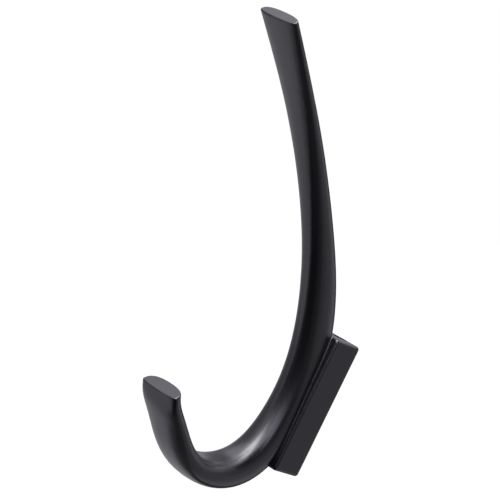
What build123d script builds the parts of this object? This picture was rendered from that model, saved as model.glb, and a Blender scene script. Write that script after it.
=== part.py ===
from build123d import *
from math import cos, pi, radians, sin
import os

os.makedirs("parts", exist_ok=True)

# Towel hook, cast in one piece with its wall block and held on a hidden wall plate by a set screw.
# The wall is the plane y = 0, the hook stands out towards -Y and x = 0 is its plane of symmetry.
# The origin is the middle of the block's face on the wall.

# Wall block
block_width = 13.0
block_depth = 11.65
block_height = 44.25
block_corner_radius = 1.1
block_front_radius = 0.8
block_back_radius = 1.0
crevice_radius = 0.4

# Centre line of the arm in the side view: where it passes, out from the wall and up from the origin,
# how far it leans from the upright at its two ends, and how far each point pulls the curve along its way
upper_tip_out = 89.45
upper_tip_up = 99.6
upper_tip_lean = 51.4
upper_tip_pull = 35.4
root_before_block = 0.6
root_up = 0.9
root_pull_up = 37.0
root_pull_down = 25.4
bend_out = 36.95
bend_down = 28.95
bend_pull_back = 11.1
bend_pull_out = 10.5
lower_tip_out = 66.75
lower_tip_down = 10.0
lower_tip_lean = 41.4
lower_tip_pull = 13.6

# Oval section of the arm at seven places, from the upper tip to the lower one: its width, and how far
# its front and its back stand from the widest line
upper_tip_width = 14.8
upper_tip_front = 1.3
upper_tip_back = 2.3
upper_arm_width = 11.5
upper_arm_front = 2.1
upper_arm_back = 3.1
neck_width = 8.7
neck_front = 4.4
neck_back = 4.3
shoulder_width = 8.6
shoulder_front = 6.4
shoulder_back = 7.1
root_width = 10.3
root_front = 5.8
root_back = 7.3
bend_width = 14.3
bend_front = 4.0
bend_back = 4.1
lower_tip_width = 15.3
lower_tip_front = 3.8
lower_tip_back = 1.3

# Where the five sections between the tips stand, as shares of the arm's length
upper_arm_share = 0.15
neck_share = 0.34
shoulder_share = 0.53
root_share = 0.68
bend_share = 0.84

# How full the ovals are (1 is an ellipse, less is squarer), their points, and the sections drawn through
oval_power = 0.8
oval_points = 32
arm_section_count = 21
tip_edge_radius = 0.45
tip_edge_steps = 4

# Set screw, its hole in the top of the block with a wider mouth, and its hexagon socket
screw_diameter = 4.0
screw_length = 10.0
screw_point_diameter = 1.0
screw_from_wall = 3.4
screw_sunk = 2.0
screw_clearance = 0.05
screw_top_chamfer = 0.3
screw_mouth_diameter = 5.0
screw_mouth_depth = 1.5
socket_across_flats = 2.0
socket_depth = 2.2

# Pocket in the back of the block, and the wall plate in it, undercut at its top and bottom edges
pocket_side_wall = 1.8
pocket_bottom_wall = 3.0
plate_thickness = 5.6
plate_lip = 1.4
plate_clearance = 0.2
plate_hole_spacing = 12.0
plate_hole_diameter = 3.6
plate_sink_diameter = 7.0
plate_sink_angle = 90.0

section_shares = (0.0, upper_arm_share, neck_share, shoulder_share, root_share, bend_share, 1.0)
section_widths = (
    upper_tip_width,
    upper_arm_width,
    neck_width,
    shoulder_width,
    root_width,
    bend_width,
    lower_tip_width,
)
section_fronts = (
    upper_tip_front,
    upper_arm_front,
    neck_front,
    shoulder_front,
    root_front,
    bend_front,
    lower_tip_front,
)
section_backs = (
    upper_tip_back,
    upper_arm_back,
    neck_back,
    shoulder_back,
    root_back,
    bend_back,
    lower_tip_back,
)


def slope_at(sizes, place):
    """Change of a section size per share of the arm's length, at one of the named places."""
    before = max(place - 1, 0)
    after = min(place + 1, len(sizes) - 1)
    return (sizes[after] - sizes[before]) / (section_shares[after] - section_shares[before])


def size_at(sizes, share):
    """Section size anywhere along the arm, on a smooth curve through the named places."""
    place = max(k for k in range(len(sizes) - 1) if section_shares[k] <= share)
    gap = section_shares[place + 1] - section_shares[place]
    t = (share - section_shares[place]) / gap
    held = (1 + 2 * t) * (1 - t) ** 2 * sizes[place] + t**2 * (3 - 2 * t) * sizes[place + 1]
    leaving = t * (1 - t) ** 2 * gap * slope_at(sizes, place)
    arriving = t**2 * (1 - t) * gap * slope_at(sizes, place + 1)
    return held + leaving - arriving


def full(value):
    """Sine or cosine pressed outwards, which makes an ellipse fuller at its corners."""
    pressed = abs(value) ** oval_power
    return pressed if value > 0 else -pressed


def oval(half_width, front, back):
    """Points of one section, with its front and its back swelling by different amounts."""
    points = []
    for step in range(oval_points):
        turn = 2 * pi * (step + 0.5) / oval_points
        swell = front if sin(turn) > 0 else back
        points.append((half_width * full(cos(turn)), swell * full(sin(turn))))
    return points


def side_view(out, up):
    """Point in the plane of symmetry, out from the wall and up from the origin."""
    return Vector(0, -out, up)


# Centre line of the arm, from the upper tip down to the block and round the bend to the lower tip
upper_tip = side_view(upper_tip_out, upper_tip_up)
root = side_view(block_depth + root_before_block, root_up)
bend = side_view(bend_out, -bend_down)
lower_tip = side_view(lower_tip_out, -lower_tip_down)
upper_way = side_view(sin(radians(upper_tip_lean)), cos(radians(upper_tip_lean)))
lower_way = side_view(sin(radians(lower_tip_lean)), cos(radians(lower_tip_lean)))
with BuildLine() as centre_line:
    Bezier(upper_tip, upper_tip - upper_way * upper_tip_pull, root + side_view(0, root_pull_up), root)
    Bezier(root, root - side_view(0, root_pull_down), bend - side_view(bend_pull_back, 0), bend)
    Bezier(bend, bend + side_view(bend_pull_out, 0), lower_tip - lower_way * lower_tip_pull, lower_tip)
arm_line = centre_line.wires()[0]

# Heights and depths that the pocket, the plate and the set screw share
block_top = block_height / 2
screw_radius = screw_diameter / 2
screw_point_radius = screw_point_diameter / 2
screw_top = block_top - screw_sunk
screw_tip = screw_top - screw_length
screw_hole_radius = screw_radius + screw_clearance
undercut = plate_thickness - plate_lip
# The cone of the screw's point lies along the plate's slanted top edge
plate_top = screw_tip - screw_point_radius - screw_from_wall + undercut - screw_clearance
plate_bottom = -block_top + pocket_bottom_wall + plate_clearance
plate_middle = (plate_top + plate_bottom) / 2
plate_width = block_width - 2 * (pocket_side_wall + plate_clearance)
# The pocket is higher than the plate by its undercut, so that the block can be hooked on from below
pocket_top = plate_top + undercut + plate_clearance
pocket_bottom = plate_bottom - plate_clearance
pocket_depth = plate_thickness + plate_clearance
pocket_width = plate_width + 2 * plate_clearance


def section_at(share, rise=0.0, inset=0.0):
    """Face of the arm's section at a share of its length, raised along the arm or drawn smaller."""
    plane = Plane(origin=arm_line @ share, x_dir=(1, 0, 0), z_dir=arm_line % share)
    half_width = size_at(section_widths, share) / 2 - inset
    front = size_at(section_fronts, share) - inset
    back = size_at(section_backs, share) - inset
    with BuildSketch(plane.offset(rise)) as section:
        with BuildLine():
            Spline(*oval(half_width, front, back), periodic=True)
        make_face()
    return section.sketch


def tip_edge_at(share, outwards):
    """Sections that round the edge of a tip's flat cut, from the full section to the cut."""
    turns = [radians(90 * step / tip_edge_steps) for step in range(tip_edge_steps + 1)]
    return [
        section_at(share, outwards * tip_edge_radius * sin(turn), tip_edge_radius * (1 - cos(turn)))
        for turn in turns
    ]


# Hook: the block, then the arm drawn through its sections, with the rounded edge and flat cut of each tip
with BuildPart() as hook_body:
    with BuildSketch(Plane.XZ):
        RectangleRounded(block_width, block_height, block_corner_radius)
    extrude(amount=block_depth)
    fillet(hook_body.faces().sort_by(Axis.Y)[0].edges(), block_front_radius)
    fillet(hook_body.faces().sort_by(Axis.Y)[-1].edges(), block_back_radius)
    loft([section_at(step / (arm_section_count - 1)) for step in range(arm_section_count)])
    loft(tip_edge_at(0.0, -1))
    loft(tip_edge_at(1.0, 1))
    # The casting's small fillet runs all round the line where the arm enters the block
    arm_face = hook_body.faces().sort_by(SortBy.AREA)[-1]
    fillet(arm_face.edges().filter_by_position(Axis.Y, -block_depth - crevice_radius, 0), crevice_radius)
    # Pocket for the wall plate, open to the wall, with a lip at its foot that hooks behind the plate
    with BuildSketch(Plane.YZ):
        with BuildLine():
            Polyline(
                (-pocket_depth, pocket_top),
                (0, pocket_top),
                (0, pocket_bottom + undercut),
                (-undercut, pocket_bottom),
                (-pocket_depth, pocket_bottom),
                close=True,
            )
        make_face()
    extrude(amount=pocket_width / 2, both=True, mode=Mode.SUBTRACT)
    with Locations((0, -screw_from_wall, block_top)):
        CounterBoreHole(
            radius=screw_hole_radius,
            counter_bore_radius=screw_mouth_diameter / 2,
            counter_bore_depth=screw_mouth_depth,
            depth=block_top - pocket_top,
        )

# Wall plate: its top and bottom edges slant in towards the wall, and two countersunk holes take the screws
with BuildPart() as wall_plate:
    with BuildSketch(Plane.YZ):
        with BuildLine():
            Polyline(
                (-plate_thickness, plate_top),
                (-undercut, plate_top),
                (0, plate_top - undercut),
                (0, plate_bottom + undercut),
                (-undercut, plate_bottom),
                (-plate_thickness, plate_bottom),
                close=True,
            )
        make_face()
    extrude(amount=plate_width / 2, both=True)
    with Locations(Plane.XZ.offset(plate_thickness)):
        with Locations(
            (0, plate_middle - plate_hole_spacing / 2),
            (0, plate_middle + plate_hole_spacing / 2),
        ):
            CounterSinkHole(
                radius=plate_hole_diameter / 2,
                counter_sink_radius=plate_sink_diameter / 2,
                counter_sink_angle=plate_sink_angle,
            )

# Set screw: a headless screw with a cone point and a hexagon socket
with BuildPart() as set_screw:
    with BuildSketch(Plane.XZ.offset(screw_from_wall)):
        with BuildLine():
            Polyline(
                (0, screw_tip),
                (screw_point_radius, screw_tip),
                (screw_radius, screw_tip + screw_radius - screw_point_radius),
                (screw_radius, screw_top - screw_top_chamfer),
                (screw_radius - screw_top_chamfer, screw_top),
                (0, screw_top),
                close=True,
            )
        make_face()
    revolve(axis=Axis((0, -screw_from_wall, 0), (0, 0, 1)))
    with BuildSketch(Plane((0, -screw_from_wall, screw_top))):
        RegularPolygon(radius=socket_across_flats / 2, side_count=6, major_radius=False)
    extrude(amount=-socket_depth, mode=Mode.SUBTRACT)

hook_body.part.label = "hook_body"
export_step(hook_body.part, "parts/hook_body.step")
wall_plate.part.label = "wall_plate"
export_step(wall_plate.part, "parts/wall_plate.step")
set_screw.part.label = "set_screw"
export_step(set_screw.part, "parts/set_screw.step")
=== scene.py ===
import math

import bmesh
import bpy
from bpy.props import FloatProperty, FloatVectorProperty, IntProperty, PointerProperty
from mathutils import Matrix, Vector


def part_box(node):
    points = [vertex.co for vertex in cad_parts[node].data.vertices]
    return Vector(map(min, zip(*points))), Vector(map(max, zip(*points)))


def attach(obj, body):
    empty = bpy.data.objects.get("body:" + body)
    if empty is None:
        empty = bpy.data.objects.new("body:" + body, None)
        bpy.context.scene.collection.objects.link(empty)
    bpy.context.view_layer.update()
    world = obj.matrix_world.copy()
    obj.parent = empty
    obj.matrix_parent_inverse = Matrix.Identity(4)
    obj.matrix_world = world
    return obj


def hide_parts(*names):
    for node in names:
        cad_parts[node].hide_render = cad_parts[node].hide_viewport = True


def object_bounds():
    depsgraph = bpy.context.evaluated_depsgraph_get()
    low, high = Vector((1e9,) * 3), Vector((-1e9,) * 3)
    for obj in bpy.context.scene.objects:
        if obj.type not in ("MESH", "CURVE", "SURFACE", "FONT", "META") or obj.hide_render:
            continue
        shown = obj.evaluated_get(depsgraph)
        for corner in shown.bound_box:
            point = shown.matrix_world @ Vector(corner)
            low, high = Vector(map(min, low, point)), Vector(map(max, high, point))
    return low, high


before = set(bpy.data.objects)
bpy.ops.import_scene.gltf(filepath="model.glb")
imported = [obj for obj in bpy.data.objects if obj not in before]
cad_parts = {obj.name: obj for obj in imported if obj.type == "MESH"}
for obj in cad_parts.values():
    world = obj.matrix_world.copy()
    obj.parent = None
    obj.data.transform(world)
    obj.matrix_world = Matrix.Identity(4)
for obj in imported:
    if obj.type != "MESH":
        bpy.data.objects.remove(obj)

bl_info = {
    "name": "Towel hook",
    "version": (1, 0, 0),
    "blender": (4, 5, 0),
    "location": "View3D > Sidebar > Towel hook",
    "description": "Dresses a towel hook, its wall plate and its set screw, and sets its studio",
    "category": "Object",
}

MM = 0.001
CAD_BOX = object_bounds()

BODY = "root"
HOOK_NODE = "hook_body"
PLATE_NODE = "wall_plate"
SCREW_NODE = "set_screw"

# Sockets of a Mix node that mixes colours, which are told apart by number only
MIX_SHARE = 0
MIX_FIRST = 6
MIX_SECOND = 7
MIX_RESULT = 2

# Finer layers of each noise, and how much each of them counts
COAT_FLOW_LAYERS = {"Detail": 3.0, "Roughness": 0.55}
COAT_PEEL_LAYERS = {"Detail": 2.0, "Roughness": 0.6}
ROLLING_LAYERS = {"Detail": 3.0, "Roughness": 0.5}
OXIDE_LAYERS = {"Detail": 3.0, "Roughness": 0.6}

# Corners of the thread's ridge in section
RIDGE_CORNERS = 4

# Strength at which the room is seen as white
SEEN_WHITE = 1.0

# Soft panels round the hook: name, brightness, and the headings and heights that they cover, in
# degrees. A heading goes from the hook's front to its right, and a height is over the level. The
# flags are hardly lit: they keep dark what mirrors them.
PANELS = (
    ("front_high_panel", 2.6, (-30, 60), (20, 60)),
    ("top_panel", 2.2, (-180, 180), (60, 90)),
    ("left_high_panel", 1.6, (240, 330), (40, 60)),
    ("front_strip", 1.1, (-30, 30), (0, 20)),
    ("right_strip", 2.2, (30, 90), (0, 20)),
    ("right_panel", 0.1, (90, 120), (-60, 20)),
    ("back_high_panel", 1.9, (168, 210), (32, 60)),
    ("back_high_flag", 0.05, (168, 210), (20, 32)),
    ("right_back_high_panel", 0.8, (138, 168), (20, 60)),
    ("right_back_panel", 0.31, (120, 150), (-60, 20)),
    ("back_panel", 0.58, (150, 180), (-60, 20)),
    ("back_flag", 0.05, (180, 210), (-60, 20)),
    ("back_left_panel", 0.35, (210, 240), (9, 60)),
    ("back_left_strip", 0.65, (210, 240), (-1, 9)),
    ("back_left_low_panel", 0.35, (210, 240), (-20, -1)),
    ("left_rim_panel", 0.62, (240, 262), (-20, 40)),
    ("left_panel", 0.42, (262, 300), (-35, 40)),
    ("left_front_panel", 0.32, (300, 314), (-35, 40)),
    ("front_left_panel", 0.7, (314, 330), (-35, 40)),
    ("low_rim_panel", 0.72, (210, 262), (-58, -20)),
    ("low_left_panel", 0.58, (262, 300), (-58, -35)),
    ("low_front_panel", 0.82, (300, 330), (-68, -35)),
    ("under_panel", 0.17, (60, 300), (-90, -58)),
    ("right_flag", 0.01, (60, 138), (20, 60)),
    ("front_flag", 0.01, (-30, 90), (-68, 0)),
    ("under_flag", 0.05, (-60, 60), (-90, -68)),
)
PANEL_STEPS = 16


def linear(hex_colour):
    """Linear red, green, blue and alpha of an sRGB hex colour."""
    channels = [int(hex_colour[k:k + 2], 16) / 255 for k in (0, 2, 4)]
    return [c / 12.92 if c <= 0.04045 else ((c + 0.055) / 1.055) ** 2.4 for c in channels] + [1.0]


WHITE = linear("ffffff")


def add_node(tree, kind, values=None, links=None, **settings):
    """Adds one node with its settings, its input values and the links into it."""
    node = tree.nodes.new(kind)
    for name, value in settings.items():
        setattr(node, name, value)
    for socket, value in (values or {}).items():
        node.inputs[socket].default_value = value
    for socket, source in (links or {}).items():
        tree.links.new(source, node.inputs[socket])
    return node


def new_material(name):
    """Empty node material."""
    material = bpy.data.materials.new(name)
    material.use_nodes = True
    material.node_tree.nodes.clear()
    return material


def wear(piece, material):
    """Gives a piece one material in all its slots."""
    for slot in piece.material_slots:
        slot.material = material
    if not piece.material_slots:
        piece.data.materials.append(material)


class HookFinish(bpy.types.PropertyGroup):
    """Colours and grain of the hook's coat, the plate's zinc and the screw's oxide."""

    coat_colour: FloatVectorProperty(
        name="Coat",
        description="Colour of the powder coat",
        size=4,
        subtype="COLOR",
        default=linear("050508"),
    )
    coat_thin_colour: FloatVectorProperty(
        name="Thin coat",
        description="Colour of the powder coat where it flowed out thinner",
        size=4,
        subtype="COLOR",
        default=linear("08080b"),
    )
    coat_gloss_colour: FloatVectorProperty(
        name="Coat gloss",
        description="Colour of the powder coat's gloss",
        size=4,
        subtype="COLOR",
        default=linear("f9f8ff"),
    )
    coat_ior: FloatProperty(
        name="Coat IOR",
        description="Index of refraction of the powder coat",
        default=1.7,
        min=1.0,
    )
    coat_roughness: FloatProperty(
        name="Coat roughness",
        description="Roughness of the cured powder coat",
        default=0.29,
        min=0.0,
        max=1.0,
        subtype="FACTOR",
    )
    coat_roughness_spread: FloatProperty(
        name="Roughness spread",
        description="How far the coat's roughness goes up and down with its thickness",
        default=0.01,
        min=0.0,
        max=1.0,
        subtype="FACTOR",
    )
    coat_peel: FloatProperty(
        name="Orange peel",
        description="Spacing of the powder coat's fine orange peel",
        default=0.8 * MM,
        unit="LENGTH",
    )
    coat_peel_height: FloatProperty(
        name="Peel height",
        description="Height of the orange peel",
        default=0.012 * MM,
        unit="LENGTH",
        precision=6,
    )
    coat_flow: FloatProperty(
        name="Coat flow",
        description="Spacing of the slow changes in the coat's thickness",
        default=9.0 * MM,
        unit="LENGTH",
    )
    zinc_colour: FloatVectorProperty(
        name="Zinc",
        description="Colour of the plate's zinc plating",
        size=4,
        subtype="COLOR",
        default=linear("c3c6c9"),
    )
    zinc_dull_colour: FloatVectorProperty(
        name="Dull zinc",
        description="Colour of the zinc where it has dulled",
        size=4,
        subtype="COLOR",
        default=linear("9fa4a8"),
    )
    zinc_mottle: FloatProperty(
        name="Zinc mottle",
        description="Size of the brighter and duller patches in the zinc",
        default=1.6 * MM,
        unit="LENGTH",
    )
    zinc_low_roughness: FloatProperty(
        name="Zinc low",
        description="Roughness of the zinc where it is smoothest",
        default=0.28,
        min=0.0,
        max=1.0,
        subtype="FACTOR",
    )
    zinc_high_roughness: FloatProperty(
        name="Zinc high",
        description="Roughness of the zinc where it is roughest",
        default=0.46,
        min=0.0,
        max=1.0,
        subtype="FACTOR",
    )
    rolling_marks: FloatProperty(
        name="Rolling marks",
        description="Spacing of the rolling marks along the plate",
        default=0.3 * MM,
        unit="LENGTH",
    )
    rolling_height: FloatProperty(
        name="Rolling height",
        description="Height of the rolling marks",
        default=0.004 * MM,
        unit="LENGTH",
        precision=6,
    )
    rolling_strength: FloatProperty(
        name="Rolling strength",
        description="Share of the rolling marks' height that shows through the zinc",
        default=0.6,
        min=0.0,
        max=1.0,
        subtype="FACTOR",
    )
    rolling_squeeze: FloatProperty(
        name="Rolling squeeze",
        description="Breadth of a rolling mark for each unit of its length up the plate",
        default=0.03,
        min=0.0,
        max=1.0,
        subtype="FACTOR",
    )
    oxide_colour: FloatVectorProperty(
        name="Black oxide",
        description="Colour of the set screw's black oxide",
        size=4,
        subtype="COLOR",
        default=linear("39393c"),
    )
    oxide_bloom_colour: FloatVectorProperty(
        name="Oxide bloom",
        description="Colour of the oxide where the steel shows through",
        size=4,
        subtype="COLOR",
        default=linear("55545a"),
    )
    oxide_mottle: FloatProperty(
        name="Oxide mottle",
        description="Size of the patches in the black oxide",
        default=0.6 * MM,
        unit="LENGTH",
    )
    oxide_low_roughness: FloatProperty(
        name="Oxide low",
        description="Roughness of the oxide where it is oiliest",
        default=0.3,
        min=0.0,
        max=1.0,
        subtype="FACTOR",
    )
    oxide_high_roughness: FloatProperty(
        name="Oxide high",
        description="Roughness of the oxide where it blooms",
        default=0.45,
        min=0.0,
        max=1.0,
        subtype="FACTOR",
    )


class ScrewSizes(bpy.types.PropertyGroup):
    """Sizes of the set screw's thread, point and socket."""

    pitch: FloatProperty(
        name="Thread pitch",
        description="Distance from one turn of the thread to the next",
        default=0.7 * MM,
        unit="LENGTH",
    )
    thread_depth: FloatProperty(
        name="Thread depth",
        description="Height of the thread's ridge over the core",
        default=0.35 * MM,
        unit="LENGTH",
    )
    point_diameter: FloatProperty(
        name="Point",
        description="Diameter of the flat end of the cone point",
        default=1.0 * MM,
        unit="LENGTH",
    )
    socket_flats: FloatProperty(
        name="Socket",
        description="Width across the flats of the hexagon socket",
        default=2.0 * MM,
        unit="LENGTH",
    )
    socket_depth: FloatProperty(
        name="Socket depth",
        description="Depth of the hexagon socket",
        default=2.2 * MM,
        unit="LENGTH",
    )
    drill_depth: FloatProperty(
        name="Drill point",
        description="Depth of the drilled cone at the foot of the socket",
        default=0.4 * MM,
        unit="LENGTH",
    )
    top_chamfer: FloatProperty(
        name="Top chamfer",
        description="Chamfer round the screw's flat end",
        default=0.25 * MM,
        unit="LENGTH",
    )
    steps_per_turn: IntProperty(
        name="Steps per turn",
        description="Corners in each turn of the screw",
        default=48,
        min=12,
    )


class StudioSetup(bpy.types.PropertyGroup):
    """Floor, light and camera."""

    floor_drop: FloatProperty(
        name="Floor drop",
        description="Height of the hook's lowest point over the floor",
        default=1.1,
        unit="LENGTH",
    )
    floor_size: FloatProperty(
        name="Floor size",
        description="Width of the floor",
        default=200.0,
        unit="LENGTH",
    )
    paper_colour: FloatVectorProperty(
        name="Paper",
        description="Colour of the floor's paper",
        size=4,
        subtype="COLOR",
        default=linear("f2f2f2"),
    )
    floor_glow: FloatProperty(
        name="Floor glow",
        description="Brightness that the floor's paper has of its own, lit from below",
        default=0.65,
        min=0.0,
        max=1.0,
    )
    room_strength: FloatProperty(
        name="Room light",
        description="Strength of the even light from the room",
        default=0.45,
        min=0.0,
    )
    panel_distance: FloatProperty(
        name="Panel distance",
        description="Distance of the soft panels from the middle of the hook",
        default=0.9,
        unit="LENGTH",
    )
    panel_colour: FloatVectorProperty(
        name="Panel colour",
        description="Cool colour of the soft panels",
        size=4,
        subtype="COLOR",
        default=linear("f8f7ff"),
    )
    key_heading: FloatProperty(
        name="Key heading",
        description="Heading of the oval softbox, from the hook's front to its right, in degrees",
        default=0.0,
    )
    key_height: FloatProperty(
        name="Key height",
        description="Height of the oval softbox over the level, in degrees",
        default=60.0,
    )
    key_distance: FloatProperty(
        name="Key distance",
        description="Distance of the oval softbox from the middle of the hook",
        default=0.5,
        unit="LENGTH",
    )
    key_width: FloatProperty(
        name="Key width",
        description="Half width of the oval softbox",
        default=0.28,
        unit="LENGTH",
    )
    key_length: FloatProperty(
        name="Key length",
        description="Half length of the oval softbox, from front to back over the hook",
        default=0.58,
        unit="LENGTH",
    )
    key_middle: FloatProperty(
        name="Key middle",
        description="Share of the oval softbox that its even middle takes",
        default=0.32,
        subtype="FACTOR",
    )
    key_strength: FloatProperty(
        name="Key strength",
        description="Brightness of the oval softbox's middle",
        default=9.8,
        min=0.0,
    )
    key_rim_strength: FloatProperty(
        name="Key rim",
        description="Brightness of the oval softbox's rim",
        default=2.0,
        min=0.0,
    )
    lens: FloatProperty(
        name="Lens",
        description="Focal length in millimetres",
        default=163.72,
    )
    heading: FloatProperty(
        name="Heading",
        description="Turn of the camera to the hook's right",
        default=math.radians(41.86),
        subtype="ANGLE",
    )
    pitch: FloatProperty(
        name="Pitch",
        description="Tilt of the camera below the level",
        default=math.radians(3.37),
        subtype="ANGLE",
    )
    roll: FloatProperty(
        name="Roll",
        description="Turn of the camera about its own line of sight",
        default=math.radians(25.88),
        subtype="ANGLE",
    )
    place: FloatVectorProperty(
        name="Camera place",
        description="Where the camera stands",
        size=3,
        subtype="XYZ",
        unit="LENGTH",
        default=(0.43595, -0.54467, 0.07518),
    )


def powder_coat(finish):
    """Matt black polyester powder coat, sprayed on and cured on the zinc casting.

    The powder melts into a skin with a soft, wide gloss, a very fine orange peel and slow changes
    of thickness. The real peel is finer than a pixel of the picture, so it is drawn coarser here
    to show. The IOR is above a polyester's own, so that light at a plain level gives the highlight.
    """
    material = new_material("black_polyester_powder_coat")
    tree = material.node_tree
    place = add_node(tree, "ShaderNodeTexCoord").outputs["Object"]
    flow = add_node(
        tree,
        "ShaderNodeTexNoise",
        {"Scale": 1 / finish.coat_flow, **COAT_FLOW_LAYERS},
        {"Vector": place},
    ).outputs["Fac"]
    peel = add_node(
        tree,
        "ShaderNodeTexNoise",
        {"Scale": 1 / finish.coat_peel, **COAT_PEEL_LAYERS},
        {"Vector": place},
    ).outputs["Fac"]
    colour = add_node(
        tree,
        "ShaderNodeMix",
        {MIX_FIRST: finish.coat_colour, MIX_SECOND: finish.coat_thin_colour},
        {MIX_SHARE: flow},
        data_type="RGBA",
    ).outputs[MIX_RESULT]
    roughness = add_node(
        tree,
        "ShaderNodeMapRange",
        {
            "To Min": finish.coat_roughness - finish.coat_roughness_spread,
            "To Max": finish.coat_roughness + finish.coat_roughness_spread,
        },
        {"Value": flow},
    ).outputs["Result"]
    bump = add_node(
        tree,
        "ShaderNodeBump",
        {"Strength": 1.0, "Distance": finish.coat_peel_height},
        {"Height": peel},
    ).outputs["Normal"]
    skin = add_node(
        tree,
        "ShaderNodeBsdfPrincipled",
        {"IOR": finish.coat_ior, "Metallic": 0.0, "Specular Tint": finish.coat_gloss_colour},
        {"Base Color": colour, "Roughness": roughness, "Normal": bump},
    ).outputs["BSDF"]
    add_node(tree, "ShaderNodeOutputMaterial", links={"Surface": skin})
    return material


def zinc_plate(finish):
    """Rolled steel strip with bright zinc plating.

    The plating is a satin metal with a faint mottle of brighter and duller zinc, over rolling marks
    that run up the plate. The marks are drawn a little coarser than real ones to show.
    """
    material = new_material("zinc_plated_rolled_steel")
    tree = material.node_tree
    place = add_node(tree, "ShaderNodeTexCoord").outputs["Object"]
    mottle = add_node(
        tree,
        "ShaderNodeTexVoronoi",
        {"Scale": 1 / finish.zinc_mottle, "Randomness": 1.0},
        {"Vector": place},
        feature="SMOOTH_F1",
    ).outputs["Distance"]
    squeezed = add_node(
        tree,
        "ShaderNodeMapping",
        {"Scale": (1.0, 1.0, finish.rolling_squeeze)},
        {"Vector": place},
    ).outputs["Vector"]
    marks = add_node(
        tree,
        "ShaderNodeTexNoise",
        {"Scale": 1 / finish.rolling_marks, **ROLLING_LAYERS},
        {"Vector": squeezed},
    ).outputs["Fac"]
    colour = add_node(
        tree,
        "ShaderNodeMix",
        {MIX_FIRST: finish.zinc_colour, MIX_SECOND: finish.zinc_dull_colour},
        {MIX_SHARE: mottle},
        data_type="RGBA",
    ).outputs[MIX_RESULT]
    roughness = add_node(
        tree,
        "ShaderNodeMapRange",
        {"To Min": finish.zinc_low_roughness, "To Max": finish.zinc_high_roughness},
        {"Value": marks},
    ).outputs["Result"]
    bump = add_node(
        tree,
        "ShaderNodeBump",
        {"Strength": finish.rolling_strength, "Distance": finish.rolling_height},
        {"Height": marks},
    ).outputs["Normal"]
    skin = add_node(
        tree,
        "ShaderNodeBsdfPrincipled",
        {"Metallic": 1.0},
        {"Base Color": colour, "Roughness": roughness, "Normal": bump},
    ).outputs["BSDF"]
    add_node(tree, "ShaderNodeOutputMaterial", links={"Surface": skin})
    return material


def black_oxide(finish):
    """Hardened steel screw with a black oxide finish: a dark, oily metal with a mottled bloom."""
    material = new_material("black_oxide_hardened_steel")
    tree = material.node_tree
    place = add_node(tree, "ShaderNodeTexCoord").outputs["Object"]
    mottle = add_node(
        tree,
        "ShaderNodeTexNoise",
        {"Scale": 1 / finish.oxide_mottle, **OXIDE_LAYERS},
        {"Vector": place},
    ).outputs["Fac"]
    colour = add_node(
        tree,
        "ShaderNodeMix",
        {MIX_FIRST: finish.oxide_colour, MIX_SECOND: finish.oxide_bloom_colour},
        {MIX_SHARE: mottle},
        data_type="RGBA",
    ).outputs[MIX_RESULT]
    roughness = add_node(
        tree,
        "ShaderNodeMapRange",
        {"To Min": finish.oxide_low_roughness, "To Max": finish.oxide_high_roughness},
        {"Value": mottle},
    ).outputs["Result"]
    skin = add_node(
        tree,
        "ShaderNodeBsdfPrincipled",
        {"Metallic": 1.0},
        {"Base Color": colour, "Roughness": roughness},
    ).outputs["BSDF"]
    add_node(tree, "ShaderNodeOutputMaterial", links={"Surface": skin})
    return material


def screw_core(sizes, low, high, axis):
    """Mesh of the set screw without its thread: cone point, plain core and hexagon socket."""
    core = (high.x - low.x) / 2 - sizes.thread_depth
    point = sizes.point_diameter / 2
    flat = sizes.socket_flats / 2
    foot = high.z - sizes.socket_depth
    side = math.pi / 3

    def hexagon(turn):
        return flat / math.cos(turn % side - side / 2)

    rings = [
        (lambda turn: point, low.z),
        (lambda turn: core, low.z + core - point),
        (lambda turn: core, high.z - sizes.top_chamfer),
        (lambda turn: core - sizes.top_chamfer, high.z),
        (hexagon, high.z),
        (hexagon, foot),
    ]
    shape = bmesh.new()
    count = sizes.steps_per_turn
    turns = [2 * math.pi * step / count for step in range(count)]
    made = []
    for radius, height in rings:
        ring = []
        for turn in turns:
            reach = radius(turn)
            corner = (axis.x + reach * math.cos(turn), axis.y + reach * math.sin(turn), height)
            ring.append(shape.verts.new(corner))
        made.append(ring)
    for below, above in zip(made, made[1:]):
        for step in range(count):
            after = (step + 1) % count
            shape.faces.new((below[step], below[after], above[after], above[step]))
    shape.faces.new(list(reversed(made[0])))
    drill = shape.verts.new((axis.x, axis.y, foot - sizes.drill_depth))
    for step in range(count):
        shape.faces.new((made[-1][step], made[-1][(step + 1) % count], drill))
    mesh = bpy.data.meshes.new("set_screw_core")
    shape.to_mesh(mesh)
    shape.free()
    return mesh


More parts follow.
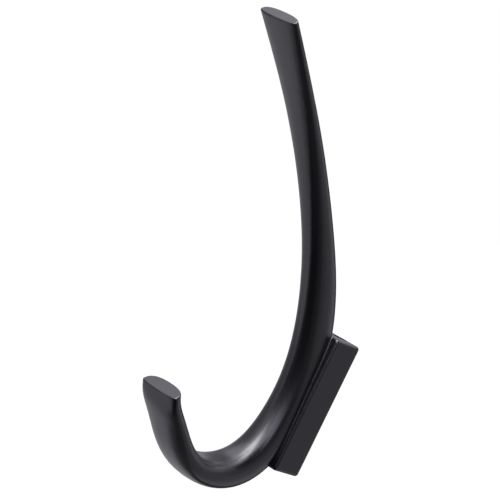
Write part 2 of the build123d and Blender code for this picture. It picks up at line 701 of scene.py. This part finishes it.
def thread_tree(material):
    """Geometry Nodes tree that winds the thread's ridge round the screw's core."""
    tree = bpy.data.node_groups.new("wind_screw_thread", "GeometryNodeTree")
    face = tree.interface
    face.new_socket("Core", in_out="INPUT", socket_type="NodeSocketGeometry")
    for name in ("Core radius", "Thread depth", "Thread length", "Turns"):
        face.new_socket(name, in_out="INPUT", socket_type="NodeSocketFloat")
    face.new_socket("Steps per turn", in_out="INPUT", socket_type="NodeSocketInt")
    face.new_socket("Thread start", in_out="INPUT", socket_type="NodeSocketVector")
    face.new_socket("Screw", in_out="OUTPUT", socket_type="NodeSocketGeometry")
    given = add_node(tree, "NodeGroupInput").outputs
    helix = add_node(
        tree,
        "GeometryNodeCurveSpiral",
        links={
            "Resolution": given["Steps per turn"],
            "Rotations": given["Turns"],
            "Start Radius": given["Core radius"],
            "End Radius": given["Core radius"],
            "Height": given["Thread length"],
        },
    ).outputs["Curve"]
    placed = add_node(
        tree,
        "GeometryNodeSetPosition",
        links={"Geometry": helix, "Offset": given["Thread start"]},
    ).outputs["Geometry"]
    ridge = add_node(
        tree,
        "GeometryNodeCurvePrimitiveCircle",
        {"Resolution": RIDGE_CORNERS},
        {"Radius": given["Thread depth"]},
        mode="RADIUS",
    ).outputs["Curve"]
    wound = add_node(
        tree,
        "GeometryNodeCurveToMesh",
        {"Fill Caps": True},
        {"Curve": placed, "Profile Curve": ridge},
    ).outputs["Mesh"]
    joined = add_node(tree, "GeometryNodeJoinGeometry")
    tree.links.new(given["Core"], joined.inputs["Geometry"])
    tree.links.new(wound, joined.inputs["Geometry"])
    real = add_node(
        tree, "GeometryNodeRealizeInstances", links={"Geometry": joined.outputs["Geometry"]}
    ).outputs["Geometry"]
    dressed = add_node(
        tree, "GeometryNodeSetMaterial", {"Material": material}, {"Geometry": real}
    ).outputs["Geometry"]
    add_node(tree, "NodeGroupOutput", links={"Screw": dressed})
    return tree


def set_inputs(modifier, values):
    """Sets a Geometry Nodes modifier's named inputs through their identifiers."""
    sockets = {
        item.name: item.identifier
        for item in modifier.node_group.interface.items_tree
        if item.item_type == "SOCKET" and item.in_out == "INPUT"
    }
    for name, value in values.items():
        modifier[sockets[name]] = value


class TOWELHOOK_OT_coat_hook(bpy.types.Operator):
    """Gives the cast hook its black powder coat"""

    bl_idname = "towelhook.coat_hook"
    bl_label = "Coat the hook"

    def execute(self, context):
        wear(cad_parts[HOOK_NODE], powder_coat(context.scene.towel_hook_finish))
        return {"FINISHED"}


class TOWELHOOK_OT_plate_wall_plate(bpy.types.Operator):
    """Gives the hidden wall plate its zinc plating"""

    bl_idname = "towelhook.plate_wall_plate"
    bl_label = "Zinc the wall plate"

    def execute(self, context):
        wear(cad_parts[PLATE_NODE], zinc_plate(context.scene.towel_hook_finish))
        return {"FINISHED"}


class TOWELHOOK_OT_thread_set_screw(bpy.types.Operator):
    """Makes the set screw with its thread, point and socket, in the place of its plain solid"""

    bl_idname = "towelhook.thread_set_screw"
    bl_label = "Thread the set screw"

    def execute(self, context):
        sizes = context.scene.towel_hook_screw
        low, high = [Vector(corner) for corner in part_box(SCREW_NODE)]
        axis = (low + high) / 2
        core_radius = (high.x - low.x) / 2 - sizes.thread_depth
        oxide = black_oxide(context.scene.towel_hook_finish)
        maker = bpy.data.objects.new("screw_maker", screw_core(sizes, low, high, axis))
        context.scene.collection.objects.link(maker)
        modifier = maker.modifiers.new("Thread", "NODES")
        modifier.node_group = thread_tree(oxide)
        thread_low = low.z + core_radius - sizes.point_diameter / 2 + sizes.thread_depth
        thread_length = high.z - sizes.top_chamfer - sizes.thread_depth - thread_low
        set_inputs(
            modifier,
            {
                "Core radius": core_radius,
                "Thread depth": sizes.thread_depth,
                "Thread length": thread_length,
                "Turns": thread_length / sizes.pitch,
                "Steps per turn": sizes.steps_per_turn,
                "Thread start": (axis.x, axis.y, thread_low),
            },
        )
        context.view_layer.update()
        evaluated = maker.evaluated_get(context.evaluated_depsgraph_get())
        mesh = bpy.data.meshes.new_from_object(evaluated)
        mesh.name = "set_screw_threaded"
        bpy.data.objects.remove(maker)
        screw = bpy.data.objects.new("set_screw_threaded", mesh)
        context.scene.collection.objects.link(screw)
        wear(screw, oxide)
        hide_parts(SCREW_NODE)
        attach(screw, BODY)
        return {"FINISHED"}


def seen_or_mirrored(tree):
    """Share that is 1 for what the camera sees, straight or in a gloss or a glass, and else 0."""
    path = add_node(tree, "ShaderNodeLightPath").outputs
    straight = add_node(
        tree,
        "ShaderNodeMath",
        links={0: path["Is Camera Ray"], 1: path["Is Glossy Ray"]},
        operation="MAXIMUM",
    ).outputs["Value"]
    return add_node(
        tree,
        "ShaderNodeMath",
        links={0: straight, 1: path["Is Transmission Ray"]},
        operation="MAXIMUM",
    ).outputs["Value"]


def floor_paper(studio):
    """Matt white paper on the floor, seen about as white as the room, which keeps the shadows."""
    material = new_material("white_floor_paper")
    tree = material.node_tree
    sheet = add_node(
        tree, "ShaderNodeBsdfDiffuse", {"Color": studio.paper_colour}
    ).outputs["BSDF"]
    glow = add_node(
        tree, "ShaderNodeEmission", {"Color": WHITE, "Strength": studio.floor_glow}
    ).outputs["Emission"]
    lit = add_node(tree, "ShaderNodeAddShader", links={0: sheet, 1: glow}).outputs["Shader"]
    mixed = add_node(
        tree, "ShaderNodeMixShader", links={0: seen_or_mirrored(tree), 1: sheet, 2: lit}
    ).outputs["Shader"]
    add_node(tree, "ShaderNodeOutputMaterial", links={"Surface": mixed})
    return material


def panel_cloth(name, colour, strength):
    """Cloth of a soft panel, lit evenly through its back, or hardly lit on a flag."""
    material = new_material(name)
    tree = material.node_tree
    glow = add_node(
        tree, "ShaderNodeEmission", {"Color": colour, "Strength": strength}
    ).outputs["Emission"]
    add_node(tree, "ShaderNodeOutputMaterial", links={"Surface": glow})
    return material


def softbox_cloth(studio):
    """Cloth of the oval softbox, brightest in its middle and fading softly to its rim."""
    material = new_material("key_softbox_cloth")
    tree = material.node_tree
    place = add_node(tree, "ShaderNodeTexCoord").outputs["Object"]
    shares = add_node(
        tree,
        "ShaderNodeMapping",
        {"Scale": (1 / studio.key_width, 1 / studio.key_length, 1.0)},
        {"Vector": place},
    ).outputs["Vector"]
    off_centre = add_node(
        tree, "ShaderNodeVectorMath", links={0: shares}, operation="LENGTH"
    ).outputs["Value"]
    fade = add_node(
        tree,
        "ShaderNodeMapRange",
        {
            "From Min": studio.key_middle,
            "To Min": studio.key_strength,
            "To Max": studio.key_rim_strength,
        },
        {"Value": off_centre},
        interpolation_type="SMOOTHSTEP",
    ).outputs["Result"]
    glow = add_node(
        tree, "ShaderNodeEmission", {"Color": WHITE}, {"Strength": fade}
    ).outputs["Emission"]
    add_node(tree, "ShaderNodeOutputMaterial", links={"Surface": glow})
    return material


def stage_panel(name, rows, material):
    """Stage sheet through rows of points."""
    across = len(rows[0])
    corners = [corner for row in rows for corner in row]
    faces = [
        (k * across + j, k * across + j + 1, (k + 1) * across + j + 1, (k + 1) * across + j)
        for k in range(len(rows) - 1)
        for j in range(across - 1)
    ]
    mesh = bpy.data.meshes.new(name)
    mesh.from_pydata(corners, [], faces)
    mesh.materials.append(material)
    panel = bpy.data.objects.new(name, mesh)
    bpy.context.scene.collection.objects.link(panel)
    return panel


def hide_panel(panel):
    """Keeps a light panel out of the camera's sight and of the other lights' way."""
    panel.visible_camera = False
    panel.visible_shadow = False


def away(heading, height):
    """Direction from the hook, by a heading and a height in degrees."""
    turn = math.radians(heading)
    rise = math.radians(height)
    level = math.cos(rise)
    return Vector((math.sin(turn) * level, -math.cos(turn) * level, math.sin(rise)))


def steps(ends):
    """Even steps from one end to the other."""
    first, last = ends
    return [first + (last - first) * step / PANEL_STEPS for step in range(PANEL_STEPS + 1)]


def lay_floor(studio, ground):
    """Wide paper floor below the hook."""
    half = studio.floor_size / 2
    rows = [[(x, y, ground) for x in (-half, half)] for y in (-half, half)]
    stage_panel("floor", rows, floor_paper(studio))


def hang_panels(studio, middle):
    """Soft panels and flags round the middle of the hook."""
    for name, strength, headings, heights in PANELS:
        rows = [
            [middle + away(heading, height) * studio.panel_distance for heading in steps(headings)]
            for height in steps(heights)
        ]
        cloth = panel_cloth(name + "_cloth", studio.panel_colour, strength)
        hide_panel(stage_panel(name, rows, cloth))


def hang_softbox(studio, middle):
    """Flat oval softbox that faces the middle of the hook."""
    turns = steps((0, 2 * math.pi))
    rim = [(studio.key_width * math.cos(t), studio.key_length * math.sin(t)) for t in turns]
    rings = [[(x * share, y * share, 0) for x, y in rim] for share in steps((0, 1))]
    facing = away(studio.key_heading, studio.key_height)
    softbox = stage_panel("key_softbox", rings, softbox_cloth(studio))
    softbox.location = middle + facing * studio.key_distance
    softbox.rotation_euler = facing.to_track_quat("Z", "Y").to_euler()
    hide_panel(softbox)


def white_room(studio):
    """World that is seen as white and gives a weaker, even light."""
    world = bpy.data.worlds.new("white_room")
    world.use_nodes = True
    tree = world.node_tree
    tree.nodes.clear()
    fill = add_node(
        tree, "ShaderNodeBackground", {"Color": WHITE, "Strength": studio.room_strength}
    ).outputs["Background"]
    seen = add_node(
        tree, "ShaderNodeBackground", {"Color": WHITE, "Strength": SEEN_WHITE}
    ).outputs["Background"]
    room = add_node(
        tree, "ShaderNodeMixShader", links={0: seen_or_mirrored(tree), 1: fill, 2: seen}
    ).outputs["Shader"]
    add_node(tree, "ShaderNodeOutputWorld", links={"Surface": room})
    return world


def studio_camera(studio):
    """Camera that sees the hook as the photo does."""
    camera = bpy.data.objects.new("camera", bpy.data.cameras.new("camera"))
    camera.data.lens = studio.lens
    turned = (
        Matrix.Rotation(studio.heading, 4, "Z")
        @ Matrix.Rotation(math.pi / 2 - studio.pitch, 4, "X")
        @ Matrix.Rotation(studio.roll, 4, "Z")
    )
    camera.matrix_world = Matrix.Translation(studio.place) @ turned
    return camera


class TOWELHOOK_OT_set_stage(bpy.types.Operator):
    """Sets the white floor and room, the soft light and the camera"""

    bl_idname = "towelhook.set_stage"
    bl_label = "Set the studio"

    def execute(self, context):
        studio = context.scene.towel_hook_studio
        low, high = [Vector(corner) for corner in CAD_BOX]
        middle = (low + high) / 2
        lay_floor(studio, low.z - studio.floor_drop)
        hang_panels(studio, middle)
        hang_softbox(studio, middle)
        context.scene.world = white_room(studio)
        camera = studio_camera(studio)
        context.scene.collection.objects.link(camera)
        context.scene.camera = camera
        context.scene.view_settings.view_transform = "Standard"
        return {"FINISHED"}


class TOWELHOOK_PT_panel(bpy.types.Panel):
    """Sidebar panel with the hook's pieces and its studio"""

    bl_idname = "TOWELHOOK_PT_panel"
    bl_label = "Towel hook"
    bl_space_type = "VIEW_3D"
    bl_region_type = "UI"
    bl_category = "Towel hook"

    def draw(self, context):
        for operator in OPERATORS:
            self.layout.operator(operator.bl_idname)
        for group in ("towel_hook_finish", "towel_hook_screw", "towel_hook_studio"):
            settings = getattr(context.scene, group)
            column = self.layout.column(align=True)
            for name in settings.__annotations__:
                column.prop(settings, name)


OPERATORS = (
    TOWELHOOK_OT_coat_hook,
    TOWELHOOK_OT_plate_wall_plate,
    TOWELHOOK_OT_thread_set_screw,
    TOWELHOOK_OT_set_stage,
)
CLASSES = (HookFinish, ScrewSizes, StudioSetup) + OPERATORS + (TOWELHOOK_PT_panel,)


def register():
    for made in CLASSES:
        bpy.utils.register_class(made)
    bpy.types.Scene.towel_hook_finish = PointerProperty(type=HookFinish)
    bpy.types.Scene.towel_hook_screw = PointerProperty(type=ScrewSizes)
    bpy.types.Scene.towel_hook_studio = PointerProperty(type=StudioSetup)


def unregister():
    del bpy.types.Scene.towel_hook_studio
    del bpy.types.Scene.towel_hook_screw
    del bpy.types.Scene.towel_hook_finish
    for made in reversed(CLASSES):
        bpy.utils.unregister_class(made)


def main():
    register()
    bpy.ops.towelhook.coat_hook()
    bpy.ops.towelhook.plate_wall_plate()
    bpy.ops.towelhook.thread_set_screw()
    bpy.ops.towelhook.set_stage()


if __name__ == "__main__":
    main()
